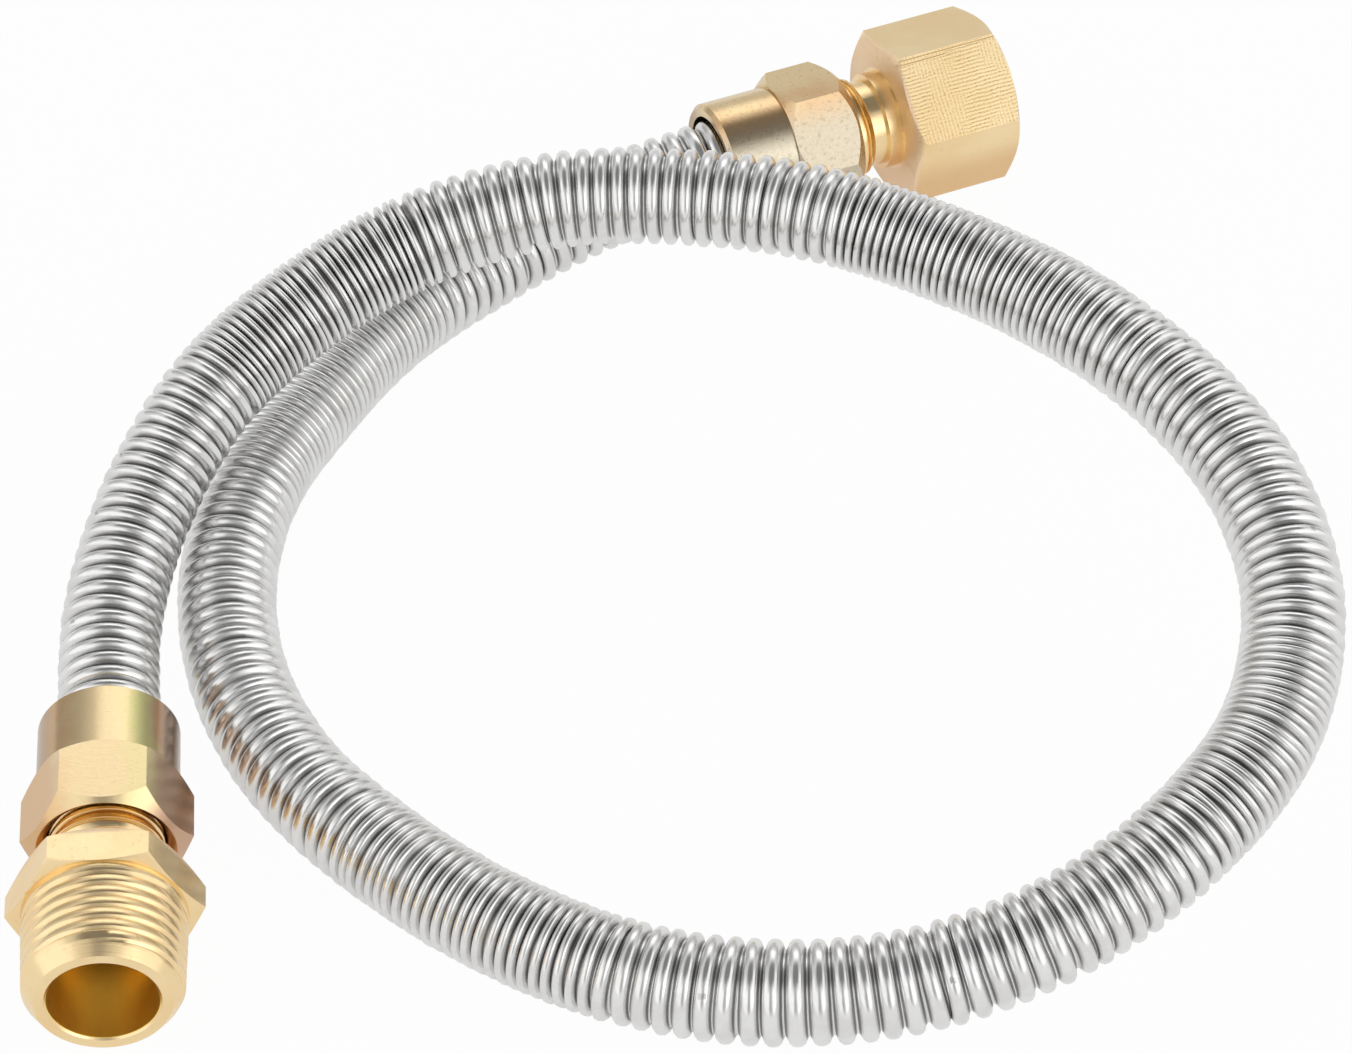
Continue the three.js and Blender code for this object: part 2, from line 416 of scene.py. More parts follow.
def made_object(name: str, shape: bmesh.types.BMesh) -> bpy.types.Object:
    """Makes an object from a bmesh, which is freed.

    Args:
        name: The object's name.
        shape: The bmesh.

    Returns:
        The object.
    """
    data = bpy.data.meshes.new(name)
    shape.to_mesh(data)
    shape.free()
    piece = bpy.data.objects.new(name, data)
    bpy.context.scene.collection.objects.link(piece)
    return piece


def dress(piece: bpy.types.Object, node: str, slot: Slot, material: bpy.types.Material) -> None:
    """Puts a piece in the place of its node and gives it its material.

    Args:
        piece: The piece.
        node: The solid that it replaces, on the body of the same name.
        slot: Its slot in the record; not used.
        material: Its material.
    """
    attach(piece, node)
    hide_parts(node)
    piece.data.materials.append(material)
    LOG.info("%s: %d faces", piece.name, len(piece.data.polygons))


def operator(operation: str, swapped: bool = False) -> Callable[["Socket", Number], "Socket"]:
    """Makes an operator of the class below from a Math node.

    Args:
        operation: The node's operation.
        swapped: Whether the other value comes first, as in a reflected form.

    Returns:
        The method.
    """
    def method(one: "Socket", other: Number) -> "Socket":
        """Adds the Math node."""
        return one.nodes.math(operation, *((other, one) if swapped else (one, other)))

    return method


class Socket:
    """A shader socket that takes part in Python expressions."""

    def __init__(self, nodes: "Nodes", socket: bpy.types.NodeSocket) -> None:
        """Keeps the node maker and the socket."""
        self.nodes = nodes
        self.socket = socket

    def sibling(self, name: str) -> "Socket":
        """Another output of the same node."""
        return Socket(self.nodes, self.socket.node.outputs[name])

    def math(self, operation: str, *others: Number) -> "Socket":
        """One Math node with this socket first."""
        return self.nodes.math(operation, self, *others)

    __add__ = __radd__ = operator("ADD")
    __mul__ = __rmul__ = operator("MULTIPLY")
    __sub__, __rsub__ = operator("SUBTRACT"), operator("SUBTRACT", swapped=True)
    __truediv__, __pow__ = operator("DIVIDE"), operator("POWER")

    def clamp(self) -> "Socket":
        """The value kept between 0 and 1."""
        return self.math("MINIMUM", 1.0).math("MAXIMUM", 0.0)

    def step(self, low: float, high: float) -> "Socket":
        """A smooth rise from 0 at low to 1 at high."""
        return self.nodes.node(
            "ShaderNodeMapRange", {"interpolation_type": "SMOOTHSTEP"},
            {"Value": self, "From Min": low, "From Max": high}, "Result")


Colour = tuple[float, float, float]
WHITE: Colour = (1.0, 1.0, 1.0)


class Nodes:
    """Makes the nodes of one tree."""

    def __init__(self, tree: bpy.types.NodeTree) -> None:
        """Keeps the tree."""
        self.tree = tree

    def node(self, kind: str, settings: dict, inputs: dict, output: Union[str, int] = 0) -> Socket:
        """Adds a node.

        Args:
            kind: The node's type.
            settings: Properties, which are set first.
            inputs: Values or links of its sockets, by name or number.
            output: The socket to hand back.

        Returns:
            The chosen output.
        """
        made = self.tree.nodes.new(kind)
        for key, value in settings.items():
            setattr(made, key, value)
        for key, value in inputs.items():
            self.feed(made.inputs[key], value)
        return Socket(self, made.outputs[output])

    def feed(self, target: bpy.types.NodeSocket, value: object) -> None:
        """Links a socket to an input, or sets the input's value.

        Args:
            target: The input.
            value: A socket, a number, a vector or a colour of three values.
        """
        if isinstance(value, Socket):
            self.tree.links.new(value.socket, target)
        else:
            target.default_value = (*value, 1.0) if target.type == "RGBA" else value

    def math(self, operation: str, *values: Number) -> Socket:
        """One Math node."""
        return self.node("ShaderNodeMath", {"operation": operation}, dict(enumerate(values)))

    def mix(self, share: Number, low: object, high: object) -> Socket:
        """Mixes two colours."""
        return self.node(
            "ShaderNodeMix", {"data_type": "RGBA"}, {0: share, 6: low, 7: high}, 2)

    def noise(self, vector: Socket, scale: float, detail: float = 3.0,
              rough: float = 0.5) -> Socket:
        """Fractal noise between 0 and 1."""
        return self.node(
            "ShaderNodeTexNoise", {"noise_dimensions": "3D"},
            {"Vector": vector, "Scale": scale, "Detail": detail, "Roughness": rough}, "Fac")

    def bands(self, value: Socket, detail: float = 3.0) -> Socket:
        """Fractal noise that changes along one value only."""
        return self.noise(self.node("ShaderNodeCombineXYZ", {}, {0: value}), 1.0, detail)

    def object_place(self) -> Socket:
        """Object coordinates."""
        return self.node("ShaderNodeTexCoord", {}, {}, "Object")

    def axis_place(self, end: End) -> Socket:
        """Object coordinates turned so that X runs along an end's axis from its mouth."""
        return self.node(
            "ShaderNodeMapping", {"vector_type": "TEXTURE"},
            {"Vector": self.object_place(), "Location": end.mouth,
             "Rotation": (0.0, 0.0, end.heading)}, "Vector")

    def dot(self, vector: Socket, direction: Colour) -> Socket:
        """How far a vector reaches along a direction."""
        return self.node(
            "ShaderNodeVectorMath", {"operation": "DOT_PRODUCT"}, {0: vector, 1: direction},
            "Value")

    def round_axis(self, place: Socket) -> tuple[Socket, Socket, Socket, Socket]:
        """Splits a place in an end's own frame.

        Args:
            place: The place, with X along the axis.

        Returns:
            How far it lies along the axis, across it, above it and from it.
        """
        along = self.node("ShaderNodeSeparateXYZ", {}, {0: place}, "X")
        across, up = along.sibling("Y"), along.sibling("Z")
        return along, across, up, (across * across + up * up) ** 0.5

    def attribute(self, name: str) -> Socket:
        """A value stored on the mesh."""
        return self.node("ShaderNodeAttribute", {"attribute_name": name}, {}, "Fac")

    def bump(self, height: Socket, depth: float, strength: float) -> Socket:
        """A Bump node for a height between 0 and 1."""
        return self.node(
            "ShaderNodeBump", {}, {"Height": height, "Distance": depth, "Strength": strength},
            "Normal")


class Surface(Nodes):
    """Makes the nodes of one material."""

    def __init__(self, name: str) -> None:
        """Starts a material whose surface is a Principled shader."""
        self.material = bpy.data.materials.new(name)
        self.material.use_nodes = True
        super().__init__(self.material.node_tree)

    def metal(self, colour: Socket, rough: Socket, normal: Socket) -> bpy.types.Material:
        """Feeds the shader of a bare metal.

        Args:
            colour: Colour of the metal.
            rough: Its roughness.
            normal: Its normal.

        Returns:
            The material.
        """
        shader = self.tree.nodes["Principled BSDF"]
        shader.inputs["Metallic"].default_value = 1.0
        for name, value in (("Base Color", colour), ("Roughness", rough), ("Normal", normal)):
            self.feed(shader.inputs[name], value)
        return self.material


@dataclass(frozen=True)
class SteelFinish:
    """Bright drawn stainless steel of the corrugated tube."""

    bright: Colour = (0.87, 0.87, 0.865)
    dull: Colour = (0.75, 0.74, 0.73)
    # Colour of the painted shade in the grooves; the seam's nicks darken towards it too.
    painted_shade: Colour = (0.14, 0.137, 0.13)
    roughness: float = 0.18
    relief: float = 0.02 * MM

    def material(self) -> bpy.types.Material:
        """Fine lines round the folds, painted shade in the grooves, with nicks along the seam.

        Returns:
            The material, which reads the fold, along and seam values of the tube's mesh.
        """
        nodes = Surface("drawn_steel")
        place = nodes.object_place()
        fold = nodes.attribute("fold")
        along = nodes.attribute("along")
        lines = nodes.bands(along * 5200.0)
        mottle = nodes.noise(place, 260.0, 4.0, 0.6)
        # groove is painted shade: the colour darkens in the grooves and on the flanks beside them,
        # where the folds shade each other.
        groove = (1.0 - fold.step(0.0, 0.5)) * 0.85 + (1.0 - fold.step(0.4, 1.0)) * 0.08
        nick = ((1.0 - nodes.attribute("seam").step(0.03, 0.08)) * fold.step(0.75, 0.95)
                * nodes.bands(along * 420.0, 1.0).step(0.6, 0.66))
        colour = nodes.mix(mottle.step(0.35, 0.65) * 0.6, self.bright, self.dull)
        # The painted groove shade and the seam's nicks both mix towards the dark shade colour.
        colour = nodes.mix((groove + nick * 0.3).clamp(), colour, self.painted_shade)
        rough = self.roughness + groove * 0.15 + (mottle - 0.5) * 0.1 + lines * 0.06
        height = lines * 0.6 + mottle * 0.4 - nick * 3.0
        return nodes.metal(colour, rough, nodes.bump(height, self.relief, 0.8))


@dataclass(frozen=True)
class ZincFinish:
    """Yellow passivated zinc plating on a turned steel nut.

    The film's tint drifts from pink over yellow and green to brown round the nut. sway says
    how far it drifts towards +Y of the nut's own frame, pale how grey it is on the -Y side
    and stained how blotchy it is. The sleeve, which ends at its own place along the axis, has
    painted shade at its sides.
    """

    sway: float
    middle: float
    pale: float
    stained: float
    sleeve: float = 10.6 * MM
    pink: Colour = (0.74, 0.48, 0.25)
    yellow: Colour = (0.82, 0.64, 0.37)
    green: Colour = (0.70, 0.66, 0.29)
    brown: Colour = (0.66, 0.43, 0.29)
    # Colour of the painted shade on the sleeve's sides.
    painted_shade: Colour = (0.38, 0.29, 0.22)
    grey: Colour = (0.66, 0.61, 0.48)
    stain: Colour = (0.36, 0.28, 0.17)
    roughness: float = 0.19
    relief: float = 0.035 * MM

    def material(self, end: End) -> bpy.types.Material:
        """Drifting tints with blotches, painted shade on the sleeve's sides, over turning lines.

        Args:
            end: The end that the nut belongs to.

        Returns:
            The material.
        """
        nodes = Surface(f"yellow_zinc_{end.name}")
        place = nodes.axis_place(end)
        along, across, _, radius = nodes.round_axis(place)
        patch = nodes.noise(place, 150.0, 3.0, 0.55)
        blotch = nodes.noise(place, 1500.0, 4.0, 0.7)
        side = across / radius
        film = side * self.sway + self.middle + (patch - 0.5) * 0.25
        colour = nodes.mix(film.step(0.22, 0.38), self.pink, self.yellow)
        on_sleeve = 1.0 - along.step(self.sleeve - 0.2 * MM, self.sleeve + 0.2 * MM)
        colour = nodes.mix(
            film.step(0.55, 0.66) * (0.35 + on_sleeve * 0.65), colour, self.green)
        colour = nodes.mix(film.step(0.68, 0.80), colour, self.brown)
        # Painted shade: the sleeve darkens towards its sides across the axis.
        side_shade = on_sleeve * (side * side).step(0.1, 0.9)
        colour = nodes.mix(side_shade * 0.72, colour, self.painted_shade)
        pale = (1.0 - side.step(-0.75, -0.2)) * self.pale
        colour = nodes.mix(pale, colour, self.grey)
        colour = nodes.mix(blotch.step(0.54, 0.70) * self.stained, colour, self.stain)
        rings = nodes.bands(along * 4200.0 + radius * 3800.0)
        rough = (self.roughness + (blotch - 0.5) * 0.6 * self.stained + (rings - 0.5) * 0.12
                 + pale * 0.1)
        normal = nodes.bump(rings * 0.4 + blotch * 0.6, self.relief, 0.7)
        return nodes.metal(colour, rough, normal)


@dataclass(frozen=True)
class BrassFinish:
    """Satin turned and milled brass, with a painted deeper amber inside its wide bore for the
    light that bounces round in it.

    bore_r is the bore's radius, bore_from the place along the axis where it starts, and
    milled_deg the way a milled flat faces, if there is one. The hexagon's near side lies
    outside collar_r and beyond neck_end. The milled flat has one score along it and one that
    fades out; scores gives how far each lies to the side of the flat's middle.
    """

    bore_r: float
    bore_from: float
    milled_deg: Optional[float] = None
    light: Colour = (1.0, 0.79, 0.46)
    deep: Colour = (0.96, 0.71, 0.38)
    blush: Colour = (0.95, 0.73, 0.51)
    # Colour of the painted shade on the downward side, used with a milled flat.
    tan: Colour = (0.80, 0.52, 0.27)
    # Painted reflection: the deeper colour of light bounced round inside the bore.
    painted_bore_tint: Colour = (1.0, 0.71, 0.16)
    stain: Colour = (0.50, 0.31, 0.12)
    roughness: float = 0.2
    relief: float = 0.03 * MM
    collar_r: float = 7.6 * MM
    neck_end: float = 24.0 * MM
    scores: tuple[float, float] = (6.5 * MM, 5.9 * MM)
    score_fade: tuple[float, float] = (33.0 * MM, 40.0 * MM)

    # Cosines of the angle from a flat's middle, just within its edge, where marks start.
    FLAT_EDGE = (0.862, 0.87)

    def material(self, end: End, hexagon: Hexagon) -> bpy.types.Material:
        """Turning lines on the round parts, and a grid of milling marks on one flat. With a milled
        flat, the downward side also gets a painted shade.

        Args:
            end: The end that the adapter belongs to.
            hexagon: The adapter's hexagon.

        Returns:
            The material.
        """
        nodes = Surface(f"brass_{end.name}")
        place = nodes.axis_place(end)
        along, _, up, radius = nodes.round_axis(place)
        patch = nodes.noise(place, 85.0, 3.0, 0.55)
        fine = nodes.noise(place, 1300.0, 4.0, 0.6)
        rings = nodes.bands(along * 6500.0 + radius * 5200.0, 2.0)
        in_bore = (along.step(self.bore_from, self.bore_from + 0.5 * MM)
                   * (1.0 - radius.step(self.bore_r, self.bore_r + 0.06 * MM)))
        on_flat = (along.step(hexagon.start, hexagon.start + 0.4 * MM)
                   * (1.0 - along.step(hexagon.end - 0.4 * MM, hexagon.end))
                   * radius.step(hexagon.face_r - 0.6 * MM, hexagon.face_r - 0.3 * MM))
        shoulder = (radius.step(self.collar_r, self.collar_r + 0.6 * MM)
                    * along.step(self.neck_end, self.neck_end + 0.5 * MM)
                    * (1.0 - along.step(hexagon.start + 0.2 * MM, hexagon.start + 1.0 * MM)))
        lines = rings * (1.0 - on_flat) + on_flat * 0.5
        colour = nodes.mix(patch.step(0.3, 0.7), self.light, self.deep)
        worn = fine.step(0.6, 0.75) * 0.2
        if self.milled_deg is not None:
            # Painted shade: with a milled flat, the adapter turns tan on its downward side.
            low = 1.0 - (up / radius).step(-0.5, 0.1)
            colour = nodes.mix(low * 0.8, colour, self.tan)
            marks = self.milling(nodes, place, radius) * on_flat
            lines = lines - marks * 0.8
            worn = worn + marks * 0.55
        colour = nodes.mix(shoulder * 0.8, colour, self.blush)
        colour = nodes.mix(worn, colour, self.stain)
        # Painted reflection: inside the bore the colour deepens to amber.
        colour = nodes.mix(in_bore, colour, self.painted_bore_tint)
        rough = (self.roughness + (fine - 0.5) * 0.2 + (lines - 0.5) * 0.16
                 + in_bore * 0.22 + shoulder * 0.3)
        normal = nodes.bump(lines * 0.7 + fine * 0.3, self.relief, 0.8)
        return nodes.metal(colour, rough, normal)

    def milling(self, nodes: Nodes, place: Socket, radius: Socket) -> Socket:
        """Milling marks on one flat: a fine grid and a scored line near its upper edge.

        Args:
            nodes: Maker of the material's nodes.
            place: Place in the adapter's own frame.
            radius: Distance from the axis.

        Returns:
            A value between 0 and 1, high in the marks.
        """
        turn = math.radians(self.milled_deg)
        facing = nodes.dot(place, (0.0, math.cos(turn), math.sin(turn))) / radius
        over = nodes.dot(place, (0.0, math.sin(turn), -math.cos(turn)))
        along = nodes.dot(place, (1.0, 0.0, 0.0))
        waver = nodes.noise(place, 420.0, 3.0, 0.6)
        where = nodes.noise(place, 190.0, 2.0).step(0.42, 0.58)
        grain = nodes.noise(place, 4200.0, 2.0).step(0.45, 0.75)
        ticks = (along * 10500.0 + waver * 6.0).math("SINE").step(-0.4, 0.8)
        dashes = (over * 11000.0 + waver * 6.0).math("SINE").step(-0.4, 0.8)
        grid = (ticks * where + dashes * (1.1 - where)) * (0.55 + grain) + grain * 0.4
        near = 1.0 - along.step(*self.score_fade)
        score = self.line(over, self.scores[0]) * 1.4 + self.line(over, self.scores[1]) * near
        return ((grid * 0.6 + score) * facing.step(*self.FLAT_EDGE)).clamp()

    @staticmethod
    def line(value: Socket, middle: float) -> Socket:
        """A thin line where a value passes its middle."""
        return 1.0 - (value - middle).math("ABSOLUTE").step(0.05 * MM, 0.15 * MM)


@dataclass(frozen=True)
class Route:
    """A smooth line through points, worked out as the solid's line is."""

    points: tuple[Vector, ...]
    per_span: int = 60

    def samples(self) -> np.ndarray:
        """Points close together on a centripetal spline through the chosen points.

        Returns:
            The points, one in a row.
        """
        known = np.array([tuple(point) for point in self.points])
        first, last = 2 * known[0] - known[1], 2 * known[-1] - known[-2]
        known = np.vstack([first, known, last])
        share = np.linspace(0, 1, self.per_span, endpoint=False)[:, None]
        spans = [self.span(known[k:k + 4], share) for k in range(len(known) - 3)]
        return np.vstack(spans + [known[-2:-1]])

    @staticmethod
    def span(four: np.ndarray, share: np.ndarray) -> np.ndarray:
        """The spline between the middle two of four points.

        Args:
            four: The points.
            share: Shares of the way, as a column.

        Returns:
            The points at those shares.
        """
        before, start, end, after = four
        gaps = [np.sqrt(np.linalg.norm(b - a)) for a, b in zip(four, four[1:])]
        leave = ((start - before) / gaps[0] - (end - before) / (gaps[0] + gaps[1])
                 + (end - start) / gaps[1]) * gaps[1]
        arrive = ((end - start) / gaps[1] - (after - start) / (gaps[1] + gaps[2])
                  + (after - end) / gaps[2]) * gaps[1]
        return (start + leave * share
                + (3 * (end - start) - 2 * leave - arrive) * share ** 2
                + (2 * (start - end) + leave + arrive) * share ** 3)


@dataclass
class CorrugatedHose:
    """The corrugated tube with its plain cuffs and flares, bent along its route.

    A fold's length is off by up to the share uneven, its crest is sunk by up to its own value
    and it leans by tilt. plain_unshaded is how far the metal away from the folds stays out of
    the painted groove shade.
    """

    male: End
    female: End
    crest_r: float = 6.88 * MM
    valley_r: float = 5.4 * MM
    bore_r: float = 4.6 * MM
    cuff_r: float = 5.4 * MM
    flare_r: float = 7.15 * MM
    crest_end: float = 7.2 * MM
    sides: int = 38
    bore_step: float = 8.0 * MM
    seam_corner: int = 5
    seed: int = 11
    uneven: float = 0.05
    sunk: float = 0.1 * MM
    tilt: float = 0.016
    plain_unshaded: float = 0.6

    # A fold from one groove to the next: share of its length, height there in a fold that is
    # pushed together, height in one that is pulled apart, and how far the metal there stays out
    # of the painted shade that darkens the grooves (1 is unshaded).
    FOLD = ((0.08, 0.17, 0.22, 0.14), (0.18, 0.72, 0.70, 0.6), (0.33, 0.97, 0.95, 0.95),
            (0.5, 1.0, 1.0, 1.0), (0.67, 0.97, 0.95, 0.95), (0.82, 0.72, 0.70, 0.6),
            (0.92, 0.17, 0.22, 0.14), (1.0, 0.0, 0.0, 0.55))

    # Length of a fold pushed together and of one pulled apart, in millimetres.
    TIGHT, LOOSE = 1.25, 2.4

    # How far apart the folds lie, by the distance along the hose, both in millimetres. The
    # folds were pushed together in some stretches and pulled apart in others.
    SPACING = (
        (0, 2.35), (24, 2.5), (50, 2.3), (64, 2.22), (68, 1.2), (99, 1.2), (104, 2.45),
        (132, 2.5), (144, 2.58), (160, 2.42), (164, 1.4), (201, 1.36), (206, 2.12),
        (228, 2.33), (252, 2.25), (262, 2.05), (267, 1.22), (293, 1.23), (297, 2.25),
        (312, 2.5), (336, 2.76), (350, 2.85), (372, 2.42), (376, 1.6), (412, 1.54),
        (416, 2.42), (468, 2.52), (484, 2.46), (488, 1.33), (529, 1.32), (534, 2.7),
        (600, 2.8),
    )

    def line(self) -> np.ndarray:
        """Works out the centreline.

        Returns:
            Points on it from flare to flare, one in a row.
        """
        ends = (self.male, self.female)
        inner = [[end.point(self.crest_end), end.point(0.0)] for end in ends]
        points = [*inner[0], *(Vector(point) for point in ROUTE), *reversed(inner[1])]
        middle = Route(tuple(points)).samples()
        tips = [np.array(end.point(FLARE.flare_front(self.flare_r))) for end in ends]
        return np.vstack([tips[0], middle, tips[1]])

    def folds(self, length: float) -> list[float]:
        """Places of the grooves between the folds.

        Args:
            length: Length of the corrugated stretch.

        Returns:
            The grooves' distances from the start of the corrugated stretch.
        """
        where, spacing = zip(*self.SPACING)
        grooves = [0.0]
        draw = np.random.default_rng(self.seed)
        while grooves[-1] < length:
            pitch = np.interp(grooves[-1] / MM, where, spacing) * MM
            grooves.append(grooves[-1] + float(pitch) * draw.uniform(
                1 - self.uneven, 1 + self.uneven))
        fit = length / grooves[-1]
        return [groove * fit for groove in grooves]

    def build(self) -> bpy.types.Object:
        """Returns:
            Its object.
        """
        line = self.line()
        steps = np.linalg.norm(np.diff(line, axis=0), axis=1)
        distance = np.concatenate([[0.0], np.cumsum(steps)])
        lead = float(distance[1])
        total = float(distance[-1])
        grooves = [lead + groove for groove in self.folds(total - 2 * lead)]
        piece = made_object("hose_tube", self.tube(self.outline(grooves, total)))
        self.bend(piece.data, line, distance, grooves)
        dress(piece, "hose", Slot.STEEL, SteelFinish().material())
        path = [tuple(float(value) for value in point) for point in [*line[::4], line[-1]]]
        tuple(self.male.mouth)
        LOG.info("hose: %.1f mm, %d folds", total / MM, len(grooves) - 1)
        return piece

    def tube(self, outline: list[tuple[float, float, float]]) -> bmesh.types.BMesh:
        """Spins the outline to a straight tube along +X.

        Args:
            outline: Place, radius and share out of the painted groove shade of each corner.

        Returns:
            The tube, with the values that its finish reads.
        """
        tube = bmesh.new()
        # fold holds each corner's share out of the painted groove shade, which the steel's finish
        # reads.
        fold = tube.verts.layers.float.new("fold")
        along = tube.verts.layers.float.new("along")
        corners = []
        for place, radius, unshaded in outline:
            corner = tube.verts.new((place, radius, 0.0))
            corner[fold] = unshaded
            corner[along] = place
            corners.append(corner)
        edges = [tube.edges.new(pair) for pair in zip(corners, corners[1:] + corners[:1])]
        bmesh.ops.spin(
            tube, geom=corners + edges, cent=(0, 0, 0), axis=(1, 0, 0), dvec=(0, 0, 0),
            angle=math.tau, steps=self.sides, use_merge=True, use_duplicate=False)
        bmesh.ops.remove_doubles(tube, verts=tube.verts[:], dist=SAME)
        bmesh.ops.recalc_face_normals(tube, faces=tube.faces[:])
        for face in tube.faces:
            face.smooth = True
        return tube

    def outline(self, grooves: list[float], total: float) -> list[tuple[float, float, float]]:
        """The tube's closed outline, out along the folds and back through the bore.

        Args:
            grooves: Places of the grooves.
            total: Length from flare to flare.

        Returns:
            (distance from the first flare, radius, share out of the painted groove shade) for each
            corner.
        """
        lip = FLARE.flare_front(self.flare_r) - FLARE.flare_back(self.flare_r)
        back = FLARE.flare_back(self.flare_r) - FLARE.flare_back(self.cuff_r)
        front = FLARE.flare_front(self.flare_r) - FLARE.flare_front(self.bore_r)
        start = [(0.0, self.flare_r), (lip, self.flare_r), (lip + back, self.cuff_r),
                 (grooves[0], self.cuff_r)]
        points = [(place, radius, self.plain_unshaded) for place, radius in start]
        depth = self.crest_r - self.valley_r
        draw = np.random.default_rng(self.seed + 1)
        for low, high in zip(grooves, grooves[1:]):
            pulled = float(np.interp((high - low) / MM, (self.TIGHT, self.LOOSE), (0, 1)))
            tall = depth - draw.uniform(0.0, self.sunk)
            # The fold's last column sets its share out of the painted groove shade.
            for share, tight, loose, unshaded in self.FOLD:
                height = tight + (loose - tight) * pulled
                points.append((low + share * (high - low), self.valley_r + height * tall,
                               tight + (unshaded - tight) * pulled))
        points += [(total - place, radius, self.plain_unshaded)
                   for place, radius in reversed(start)]
        count = int((total - 2 * front) / self.bore_step)
        points += [(place, self.bore_r, self.plain_unshaded)
                   for place in np.linspace(total - front, front, count)]
        return points

    def bend(self, data: bpy.types.Mesh, line: np.ndarray, distance: np.ndarray,
             grooves: list[float]) -> None:
        """Moves the straight tube's corners to the route.

        Args:
            data: The tube's mesh, made along +X.
            line: Points on the route.
            distance: Distance of each point along the route.
            grooves: Places of the grooves, where each fold's own small tilt changes.
        """
        corners = np.empty(len(data.vertices) * 3, np.float32)
        data.vertices.foreach_get("co", corners)
        corners = corners.reshape(-1, 3).astype(float)
        side, up = self.directions(line)
        draw = np.random.default_rng(self.seed)
        tilts = draw.normal(0.0, self.tilt, (len(grooves) + 1, 2))
        fold = np.searchsorted(grooves, corners[:, 0])
        inside = (corners[:, 0] > grooves[0]) & (corners[:, 0] < grooves[-1])
        lean = (tilts[fold] * corners[:, 1:]).sum(axis=1) * inside
        place = corners[:, 0] + lean
        middle, across, above = (
            np.stack([np.interp(place, distance, table[:, k]) for k in range(3)], axis=1)
            for table in (line, side, up))
        moved = middle + across * corners[:, 1:2] + above * corners[:, 2:3]
        data.vertices.foreach_set("co", moved.astype(np.float32).ravel())
        seam_at = math.tau * self.seam_corner / self.sides
        apart = np.abs(np.arctan2(corners[:, 2], corners[:, 1]) - seam_at)
        seam = data.attributes.new("seam", "FLOAT", "POINT")
        seam.data.foreach_set("value", np.minimum(apart, math.tau - apart).astype(np.float32))
        data.update()

    @staticmethod
    def directions(line: np.ndarray) -> tuple[np.ndarray, np.ndarray]:
        """Two directions across the route at each point, carried along without a twist.

        Args:
            line: Points on the route.

        Returns:
            The sideways and upward directions.
        """
        ahead = np.gradient(line, axis=0)
        ahead /= np.linalg.norm(ahead, axis=1)[:, None]
        sides = [np.cross((0.0, 0.0, 1.0), ahead[0])]
        for direction in ahead:
            side = sides[-1] - direction * np.dot(sides[-1], direction)
            sides.append(side / np.linalg.norm(side))
        side = np.array(sides[1:])
        return side, np.cross(ahead, side)


@dataclass
class FlareNut:
    """The hexagon nut with its long sleeve, through which the hose passes."""

    end: End
    roll_deg: float
    finish: ZincFinish
    sleeve_r: float = 9.4 * MM
    sleeve_bevel: float = 0.6 * MM
    bore_r: float = 7.6 * MM
    bore_depth: float = 7.6 * MM
    sleeve_length: float = 10.6 * MM
    length: float = 21.3 * MM
    across_flats: float = 19.5 * MM
    chamfer_deg: float = 46.0
    front_cut: float = 0.55 * MM
    mouth_r: float = 9.1 * MM
    thread_depth: float = 0.7 * MM
    edge: float = 0.12 * MM
    sides: int = 96

    def build(self) -> bpy.types.Object:
        """Makes the nut.

        Returns:
            The nut's object.
        """
        thread_r = FLARE.stub_r + FLARE.thread_gap
        mouth_end = self.length - (self.mouth_r - thread_r)
        first = FLARE.seat(thread_r) + Thread.PLAIN
        last = mouth_end - Thread.PLAIN
        hexagon = Hexagon(
            self.sleeve_length, self.length, self.across_flats, self.roll_deg,
            self.chamfer_deg, self.front_cut)
        skin = Skin(self.sides, self.roll_deg)
        skin.circle(0.0, self.sleeve_r - self.sleeve_bevel)
        skin.turned([(self.sleeve_bevel, self.sleeve_r),
                     (self.sleeve_length, self.sleeve_r)])
        skin.hexagon(hexagon)
        skin.turned([(self.length, self.mouth_r), (mouth_end, thread_r)])
        skin.soften(self.edge)
        skin.thread(Thread(
            first, last, FLARE.pitch, lambda place: thread_r, self.thread_depth,
            inside=True), backwards=True)
        skin.turned([(FLARE.seat(thread_r), thread_r), (FLARE.seat_start, FLARE.throat_r),
                     (self.bore_depth, FLARE.throat_r), (self.bore_depth, self.bore_r),
                     (self.edge, self.bore_r)])
        skin.close()
        name = f"{self.end.name}_nut"
        piece = skin.piece(f"{name}_plated", self.end.place())
        dress(piece, name, Slot.ZINC, self.finish.material(self.end))
        return piece


